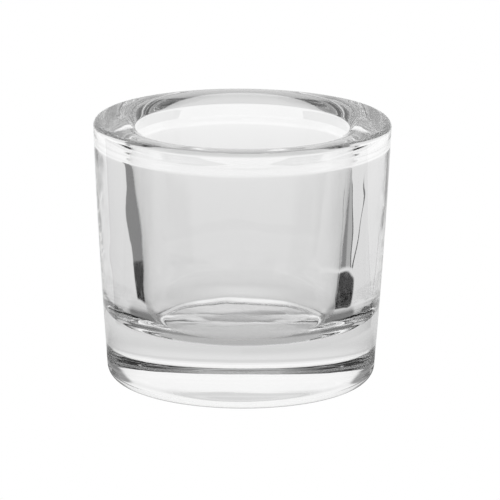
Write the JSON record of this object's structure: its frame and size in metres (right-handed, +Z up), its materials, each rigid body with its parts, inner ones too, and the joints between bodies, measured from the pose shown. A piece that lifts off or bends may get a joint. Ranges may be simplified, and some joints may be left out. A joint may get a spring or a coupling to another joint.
{
  "type": "dappen dish",
  "caption": "Heavy thick-walled round cup of clear pressed glass, with a rounded rim, a tapered well with a rounded floor, and a thick base on a flat bearing ring.",
  "frame": {"origin": "on the table plane, at the centre of the flat bearing ring", "axes": "+Z up along the axis of the dish, out of its mouth; +X and +Y lie in the table plane, and the dish is the same in every direction round +Z"},
  "size_m": [0.062, 0.0618, 0.055],
  "materials": {
    "clear_glass": "polished"
  },
  "bodies": {
    "root": {"glass_dish": "clear_glass"}
  },
  "joints": []
}
